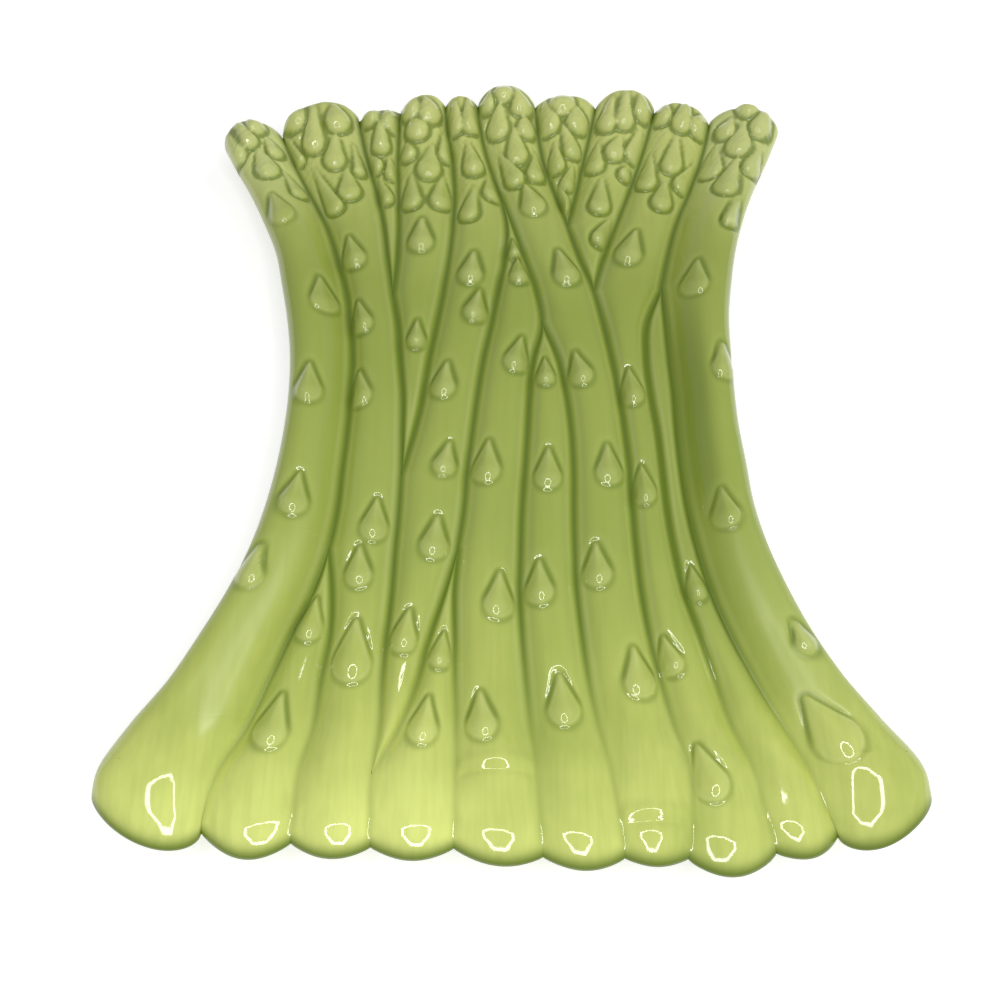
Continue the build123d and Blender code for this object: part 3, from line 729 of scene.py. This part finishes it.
def model_spear(node, left_chain, right_chain, tucked_start, tucked_end, drops):
    """One spear of the dish, from its crevices to its crest, with its leaves and buds."""
    side = side_of(left_chain, right_chain)
    probe = np.linspace(-half_length, half_length, probe_lines)
    widest = (border(right_chain, probe) - border(left_chain, probe)).max()
    columns = columns_across(min(widest, widest_counted), side)
    butt_reach = corner_round if side else butt_round
    along, start, end = rows_along(node, tucked_start, tucked_end, columns, butt_reach)
    left, right = border(left_chain, along), border(right_chain, along)
    for tucked, sign in ((tucked_start, -1), (tucked_end, 1)):
        if tucked is not None:
            closed = np.clip(sign * (along / tenth - tucked) / closing_share, 0, 1)
            middle = (left + right) / 2
            left, right = left + (middle - left) * closed, right + (middle - right) * closed
    across = left + (right - left) * columns
    if side:
        inwards = across - left if side > 0 else right - across
        top, under, pool_and_shade = rim_profile(right - left, inwards, along, side)
    else:
        inwards = np.minimum(across - left, right - across)
        top, under, pool_and_shade = stalk_profile(right - left, inwards, along)

    # Leaves, buds, beads and steps
    raised, grooves, crests = drop_relief(drops, across, along)
    raised = raised + lumps(across, along)
    edge_fade = soft_step(inwards / edge_reach)
    relief = blurred(raised * (edge_relief + (1 - edge_relief) * edge_fade)
                     - grooves * edge_fade, softening)
    hollow = blurred(relief, hollow_reach) - relief
    top = top + relief
    none = np.zeros_like(top)
    # Painted shade on the lip where a butt's end turns under, on its top and its underside
    lip_shade = none
    if tucked_start is None:
        top += butt_bead * hump(along - start - bead_place, bead_width) * edge_fade
        lip_shade = hump(along - start, lip_shade_reach)
    if node in butt_steps:
        past = along - butt_steps[node] + step_bow * (across - (left + right) / 2) ** 2
        top += (step_height * hump(past, step_width)
                - dip_depth * hump(past - dip_place, dip_width)) * edge_fade

    # The rounded ends bring top and underside together
    middle = (top + under) / 2
    roll = np.ones_like(top)
    for tucked, distance, reach in ((tucked_start, along - start, butt_reach),
                                    (tucked_end, end - along, head_round)):
        if tucked is None:
            roll *= np.sqrt(1 - (1 - np.clip(distance / reach, 0, 1)) ** 2)
    top = middle + (top - middle) * roll
    under = middle + (under - middle) * roll

    # Glaze: dry places, pooled glaze with painted shade, and where it runs thin
    brink = (brink_thin * hump(inwards - brink_place, brink_width)
             * tipwards(along, *crevice_marks_zone))
    dry = none
    if side:
        brink = np.maximum(brink, corner_thin * tipwards(along, *corner_thin_zone))
        dry = (tipwards(along, *dry_zone) * buttwards(along, *dry_end_zone)
               * (1 - soft_step(raised / covering_height)))
    # Pooled glaze and painted shade: crevices, the butts' lips and the hollows round leaves and
    # buds
    pool_and_shade = np.maximum.reduce([lip_shade, pool_and_shade, hollow_pool_and_shade * np.clip(hollow / hollow_depth, 0, 1)])
    thin = np.maximum.reduce([brink, drop_crest_thin * crests,
                              np.clip(-hollow / bump_height, 0, 1)])
    masks = {"dry": (dry, none), "pool_and_shade": (pool_and_shade, lip_shade), "thin": (thin, none)}

    spear = model_slab("glazed_" + node, len(columns), len(along))
    shape_slab(spear.data, across, along, top, under, masks)
    bpy.ops.object.mode_set(mode="EDIT")
    bpy.ops.mesh.select_all(action="SELECT")
    bpy.ops.mesh.remove_doubles(threshold=double_distance * mm)
    bpy.ops.mesh.normals_make_consistent(inside=False)
    bpy.ops.object.mode_set(mode="OBJECT")
    bpy.ops.object.shade_smooth_by_angle(angle=smooth_up_to)
    return spear


def paint(red, green, blue):
    """Colour of the scene from a colour as it looks on paper, 0 to 255."""
    shares = [value / 255 for value in (red, green, blue)]
    return tuple(share / 12.92 if share <= 0.04045 else ((share + 0.055) / 1.055) ** 2.4
                 for share in shares) + (1.0,)


def new_group(name, inputs, outputs):
    """Empty shader node group with its sockets, given as (name, type, default)."""
    group = bpy.data.node_groups.new(name, "ShaderNodeTree")
    for in_out, sockets in (("INPUT", inputs), ("OUTPUT", outputs)):
        for label, kind, default in sockets:
            socket = group.interface.new_socket(label, in_out=in_out,
                                                socket_type="NodeSocket" + kind)
            if default is not None:
                socket.default_value = default
    return group, group.nodes.new("NodeGroupInput"), group.nodes.new("NodeGroupOutput")


def add(tree, kind, **settings):
    """New shader node of a kind, with its settings."""
    node = tree.nodes.new("ShaderNode" + kind)
    for key, value in settings.items():
        setattr(node, key, value)
    return node


def noise(tree, coordinates, scale, detail=3.0):
    """Mask of soft noise."""
    node = add(tree, "TexNoise")
    node.inputs["Scale"].default_value = scale
    node.inputs["Detail"].default_value = detail
    tree.links.new(coordinates, node.inputs["Vector"])
    return node.outputs["Fac"]


def ranged(tree, value, low, high, to_low=0.0, to_high=1.0):
    """The value, with one range stretched onto another."""
    node = add(tree, "MapRange")
    for key, number in (("From Min", low), ("From Max", high),
                        ("To Min", to_low), ("To Max", to_high)):
        node.inputs[key].default_value = number
    tree.links.new(value, node.inputs["Value"])
    return node.outputs["Result"]


def combined(tree, operation, first, second):
    """Two values put together by a Math node."""
    node = add(tree, "Math", operation=operation)
    for socket, value in zip(node.inputs, (first, second)):
        if isinstance(value, (int, float)):
            socket.default_value = value
        else:
            tree.links.new(value, socket)
    return node.outputs["Value"]


def mixed(tree, share, first, second):
    """A share of the second colour mixed into the first."""
    node = add(tree, "Mix", data_type="RGBA")
    sockets = [s for s in node.inputs if s.enabled and s.type == "RGBA"]
    share_socket = node.inputs["Factor"]
    for socket, value in zip([share_socket] + sockets, (share, first, second)):
        if isinstance(value, (int, float, tuple)):
            socket.default_value = value
        else:
            tree.links.new(value, socket)
    return [s for s in node.outputs if s.enabled and s.type == "RGBA"][0]


def ramp(tree, value, stops):
    """Colour that runs through (place, colour) stops."""
    node = add(tree, "ValToRGB")
    elements = node.color_ramp.elements
    while len(elements) < len(stops):
        elements.new(0.5)
    for element, (place, colour) in zip(elements, stops):
        element.position = place
        element.color = colour
    tree.links.new(value, node.inputs["Fac"])
    return node.outputs["Color"]


def make_kiln_marks():
    """Soft clouds and a few small dark specks, as fired clay and glaze have."""
    group, start, end = new_group(
        "kiln_marks",
        [("Coordinates", "Vector", None), ("Cloud Scale", "Float", cloud_scale),
         ("Speck Scale", "Float", speck_scale)],
        [("Clouds", "Float", None), ("Specks", "Float", None)])
    cloud = add(group, "TexNoise")
    cloud.inputs["Detail"].default_value = 4.0
    group.links.new(start.outputs["Coordinates"], cloud.inputs["Vector"])
    group.links.new(start.outputs["Cloud Scale"], cloud.inputs["Scale"])
    speck = add(group, "TexVoronoi")
    group.links.new(start.outputs["Coordinates"], speck.inputs["Vector"])
    group.links.new(start.outputs["Speck Scale"], speck.inputs["Scale"])
    near = ranged(group, speck.outputs["Distance"], 0.05, 0.02)
    chosen = add(group, "SeparateColor")
    group.links.new(speck.outputs["Color"], chosen.inputs["Color"])
    rare = combined(group, "GREATER_THAN", chosen.outputs["Red"], 1 - speck_share)
    group.links.new(cloud.outputs["Fac"], end.inputs["Clouds"])
    group.links.new(combined(group, "MULTIPLY", near, rare), end.inputs["Specks"])
    return group


def new_material(name):
    """New material, its node tree and its Principled shader."""
    material = bpy.data.materials.new(name)
    material.use_nodes = True
    tree = material.node_tree
    return material, tree, tree.nodes["Principled BSDF"]


def mark(tree, kiln_marks, coordinates, clouds, specks):
    """Kiln marks in a material, with the scales of their clouds and specks."""
    node = add(tree, "Group", node_tree=kiln_marks)
    tree.links.new(coordinates, node.inputs["Coordinates"])
    node.inputs["Cloud Scale"].default_value = clouds
    node.inputs["Speck Scale"].default_value = specks
    return node


def roughen(tree, shader, height, strength, depth):
    """Fine relief of a surface, its depth in millimetres."""
    bump = add(tree, "Bump")
    bump.inputs["Strength"].default_value = strength
    bump.inputs["Distance"].default_value = depth * mm
    tree.links.new(height, bump.inputs["Height"])
    tree.links.new(bump.outputs["Normal"], shader.inputs["Normal"])


def make_green_glaze(kiln_marks):
    """Clear green glaze: dark where it pools and where shade is painted in crevices, hollows and
    the butts' lips, pale where it runs thin over a crest.
    """
    material, tree, shader = new_material("green_glaze")
    coordinates = add(tree, "TexCoord").outputs["Object"]
    along = add(tree, "SeparateXYZ")
    tree.links.new(coordinates, along.inputs["Vector"])
    marks = mark(tree, kiln_marks, coordinates, cloud_scale, speck_scale)
    clouds = marks.outputs["Clouds"]
    drift = ranged(tree, clouds, 0.3, 0.7, -cloud_drift, cloud_drift)
    share = ranged(tree, along.outputs["Y"], (waist_line - half_length) * mm,
                   (waist_line + half_length) * mm)
    body = ramp(tree, combined(tree, "ADD", share, drift), butt_to_tip)
    stretched = add(tree, "Mapping")
    stretched.inputs["Scale"].default_value = (1.0, streak_stretch, 1.0)
    tree.links.new(coordinates, stretched.inputs["Vector"])
    streaks = noise(tree, stretched.outputs["Vector"], streak_scale, 2.0)
    body = mixed(tree, ranged(tree, streaks, 0.35, 0.75, 0.0, streak_strength), body, stalk_shade)
    body = mixed(tree, ranged(tree, clouds, 0.45, 0.75, 0.0, cloud_strength), body, stalk_shade)
    pool_and_shade, thin, dry = (add(tree, "Attribute", attribute_name=mask).outputs["Fac"]
                       for mask in ("pool_and_shade", "thin", "dry"))
    body = mixed(tree, combined(tree, "MULTIPLY", thin, thin_strength), body, thin_green)
    # Pooled glaze and painted shade darken the colour
    body = mixed(tree, combined(tree, "MULTIPLY", pool_and_shade, pool_and_shade_strength), body, pooled_and_shaded_green)
    body = mixed(tree, marks.outputs["Specks"], body, speck_brown)
    tree.links.new(body, shader.inputs["Base Color"])
    shine = ranged(tree, noise(tree, coordinates, shine_scale), 0.3, 0.7, *glaze_roughness)
    dryness = combined(tree, "MULTIPLY", dry, dry_roughness)
    tree.links.new(combined(tree, "ADD", shine, dryness), shader.inputs["Roughness"])
    shader.inputs["IOR"].default_value = glaze_ior
    roughen(tree, shader, noise(tree, coordinates, ripple_scale, 2.0), ripple_strength,
            ripple_height)
    return material


def make_bare_foot(kiln_marks):
    """Unglazed clay of the ring that the dish is fired on."""
    material, tree, shader = new_material("bare_foot")
    coordinates = add(tree, "TexCoord").outputs["Object"]
    marks = mark(tree, kiln_marks, coordinates, clay_cloud_scale, clay_speck_scale)
    clay = mixed(tree, marks.outputs["Clouds"], pale_clay, dark_clay)
    clay = mixed(tree, marks.outputs["Specks"], clay, speck_brown)
    tree.links.new(clay, shader.inputs["Base Color"])
    shader.inputs["Roughness"].default_value = clay_roughness
    roughen(tree, shader, noise(tree, coordinates, grain_scale, 4.0), grain_strength, grain_height)
    return material


def seen_white(tree, mirrored_share):
    """The Light Path node, and how much of the white is seen: all of it straight on or through
    something clear, and a share of it in a reflection."""
    rays = add(tree, "LightPath")
    straight = combined(tree, "MAXIMUM", rays.outputs["Is Camera Ray"],
                        rays.outputs["Is Transmission Ray"])
    mirrored = combined(tree, "MULTIPLY", rays.outputs["Is Glossy Ray"], mirrored_share)
    return rays, combined(tree, "MAXIMUM", straight, mirrored)


def make_floor():
    """Studio floor: white to the camera and in reflections, with the dish's shadow on it, and clear
    to a camera below it."""
    bpy.ops.object.select_all(action="DESELECT")
    bpy.ops.mesh.primitive_plane_add(size=floor_size)
    floor = bpy.context.object
    floor.name = "studio_floor"
    material, tree, shader = new_material("studio_floor")
    shader.inputs["Base Color"].default_value = floor_grey
    shader.inputs["Roughness"].default_value = 1.0
    shader.inputs["Specular IOR Level"].default_value = 0.0
    rays, seen = seen_white(tree, 1.0)
    shader.inputs["Emission Color"].default_value = white
    tree.links.new(combined(tree, "MULTIPLY", seen, floor_glow),
                   shader.inputs["Emission Strength"])
    from_below = combined(tree, "MULTIPLY", rays.outputs["Is Camera Ray"],
                        add(tree, "NewGeometry").outputs["Backfacing"])
    surface = add(tree, "MixShader")
    tree.links.new(from_below, surface.inputs["Fac"])
    tree.links.new(shader.outputs["BSDF"], surface.inputs[1])
    tree.links.new(add(tree, "BsdfTransparent").outputs["BSDF"], surface.inputs[2])
    tree.links.new(surface.outputs["Shader"], tree.nodes["Material Output"].inputs["Surface"])
    floor.data.materials.append(material)


def add_lamp(name, place, aim, size, power):
    """Rectangular lamp that shines from its place to its aim."""
    bpy.ops.object.light_add(type="AREA", location=Vector(place))
    lamp = bpy.context.object
    lamp.name = name
    lamp.data.shape = "RECTANGLE"
    lamp.data.size, lamp.data.size_y = size
    lamp.data.energy = power
    lamp.rotation_euler = (Vector(aim) - Vector(place)).to_track_quat("-Z", "Y").to_euler()
    return lamp


def light_studio(view):
    """A ring of lamps round the camera, a broad soft one over the dish's right, and a pale room."""
    for i in range(ring_sides):
        turn = 2 * pi * i / ring_sides
        out = Vector((np.cos(turn), np.sin(turn), 0)) * ring_radius
        side = add_lamp(f"ring_{i + 1}", (0, 0, 0), (0, 0, -1),
                        (ring_width, 2 * ring_radius * np.tan(pi / ring_sides)), ring_power)
        side.matrix_world = (view @ Matrix.Translation(out + Vector((0, 0, ring_back)))
                             @ Matrix.Rotation(turn, 4, "Z"))
    fill = add_lamp("soft_fill", fill_place, (0, 0, 0), fill_size, fill_power)
    fill.visible_glossy = False
    world = bpy.context.scene.world or bpy.data.worlds.new("room")
    bpy.context.scene.world = world
    world.use_nodes = True
    background = world.node_tree.nodes["Background"]
    background.inputs["Color"].default_value = white
    _, seen = seen_white(world.node_tree, room_mirrored)
    world.node_tree.links.new(combined(world.node_tree, "MAXIMUM", seen, room_strength),
                              background.inputs["Strength"])


def place_camera():
    """The photograph's camera, and where it stands."""
    bpy.ops.object.camera_add()
    camera = bpy.context.object
    camera.name = "photo_camera"
    camera.data.lens = lens
    camera.data.clip_start = 0.01
    camera.matrix_world = (Matrix.Translation(Vector(camera_place) * mm)
                           @ Matrix.Rotation(radians(camera_turn), 4, "Z")
                           @ Matrix.Rotation(radians(camera_tilt), 4, "X")
                           @ Matrix.Rotation(radians(camera_roll), 4, "Z"))
    bpy.context.scene.camera = camera
    return camera.matrix_world.copy()


# Colours
butt_green = paint(228, 238, 134)
lower_stalk_green = paint(186, 199, 98)
stalk_green = paint(165, 180, 84)
upper_stalk_green = paint(156, 171, 74)
stalk_shade = paint(140, 163, 60)
neck_green = paint(184, 196, 100)
head_green = paint(218, 224, 136)
thin_green = paint(222, 230, 158)
# dark green of pooled glaze and of painted shade
pooled_and_shaded_green = paint(96, 120, 14)
speck_brown = paint(70, 60, 30)
pale_clay = paint(226, 214, 190)
dark_clay = paint(206, 190, 160)
butt_to_tip = [(0.0, butt_green), (0.16, lower_stalk_green), (0.36, stalk_green),
               (0.70, upper_stalk_green), (0.84, neck_green), (0.97, head_green)]

placed_drops = lay_drops()
kiln_marks = make_kiln_marks()
glaze = make_green_glaze(kiln_marks)
for name, left_chain, right_chain, tucked_start, tucked_end in spears:
    glazed = model_spear(name, left_chain, right_chain, tucked_start, tucked_end,
                         placed_drops[name])
    glazed.data.materials.append(glaze)
    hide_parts(name)
    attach(glazed, "root")

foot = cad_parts["foot_ring"]
foot_clay = make_bare_foot(kiln_marks)
for slot in foot.material_slots:
    slot.material = foot_clay

make_floor()
light_studio(place_camera())
bpy.context.scene.view_settings.view_transform = "Standard"
